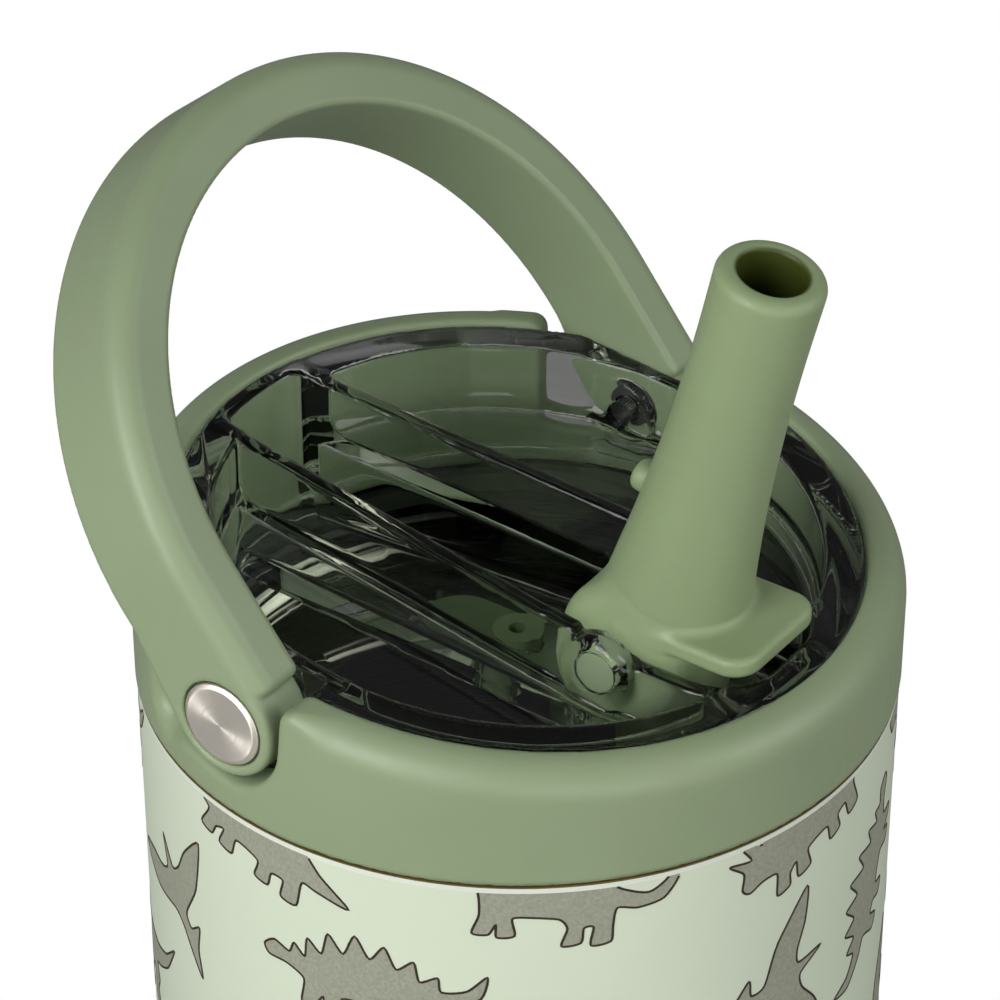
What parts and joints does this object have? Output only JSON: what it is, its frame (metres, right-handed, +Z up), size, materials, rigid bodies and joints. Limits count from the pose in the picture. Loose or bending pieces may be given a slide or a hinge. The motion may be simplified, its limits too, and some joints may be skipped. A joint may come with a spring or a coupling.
{
  "type": "kids water bottle",
  "caption": "Insulated steel kids water bottle with a printed body, a screw lid with a clear insert, a leaning carry handle and a flip-up drinking spout.",
  "frame": {"origin": "centre of the base pad's underside, on the table", "axes": "+Z up, the drinking spout is at -Y, the handle pivots lie along X behind the lid's centre"},
  "size_m": [0.085, 0.0893, 0.1722],
  "materials": {
    "print_paint": "satin mint paint with a grey printed animal pattern",
    "inner_steel": "dark, spun inside",
    "steel": "plain steel",
    "spun_steel": "spun circular grain",
    "green_plastic": "fine satin",
    "clear_plastic": "clear, polished",
    "seal_silicone": "dark, matte",
    "silicone": "matte",
    "spout_silicone": "satin, slightly see-through",
    "spout_plastic": "satin",
    "straw_plastic": "milky",
    "bush_plastic": "dark, plain",
    "dark_steel": "blackened"
  },
  "bodies": {
    "vessel": {"outer_shell": "print_paint", "inner_vessel": "inner_steel", "base_plate": "steel", "base_pad": "silicone", "vacuum_getter": "steel"},
    "seal": {"lid_gasket": "seal_silicone"},
    "lid": {"lid_collar": "green_plastic", "lid_insert": "clear_plastic", "spout_seat": "silicone", "seat_retainer": "clear_plastic", "straw": "straw_plastic", "pivot_screws": "dark_steel"},
    "handle": {"handle": "green_plastic", "cap_left": "spun_steel", "cap_right": "spun_steel", "pivot_bushes": "bush_plastic"},
    "spout": {"spout_mouthpiece": "spout_silicone", "spout_hub": "spout_plastic", "spout_trunnions": "spout_plastic", "vent_plug": "spout_silicone"}
  },
  "joints": [
    {"name": "lid_lift", "type": "slide", "parent": "vessel", "child": "seal", "axis": [0, 0, 1], "range_m": [0, 0.125]},
    {"name": "lid_turn", "type": "hinge", "parent": "seal", "child": "lid", "pos_m": [0, 0, 0.112], "axis": [0, 0, 1], "range_deg": [0, 270]},
    {"name": "handle_swing", "type": "hinge", "parent": "lid", "child": "handle", "pos_m": [0, 0.0082, 0.1233], "axis": [1, 0, 0], "range_deg": [0, 34]},
    {"name": "spout_fold", "type": "hinge", "parent": "lid", "child": "spout", "pos_m": [0, -0.018, 0.1229], "axis": [-1, 0, 0], "range_deg": [0, 103]}
  ]
}
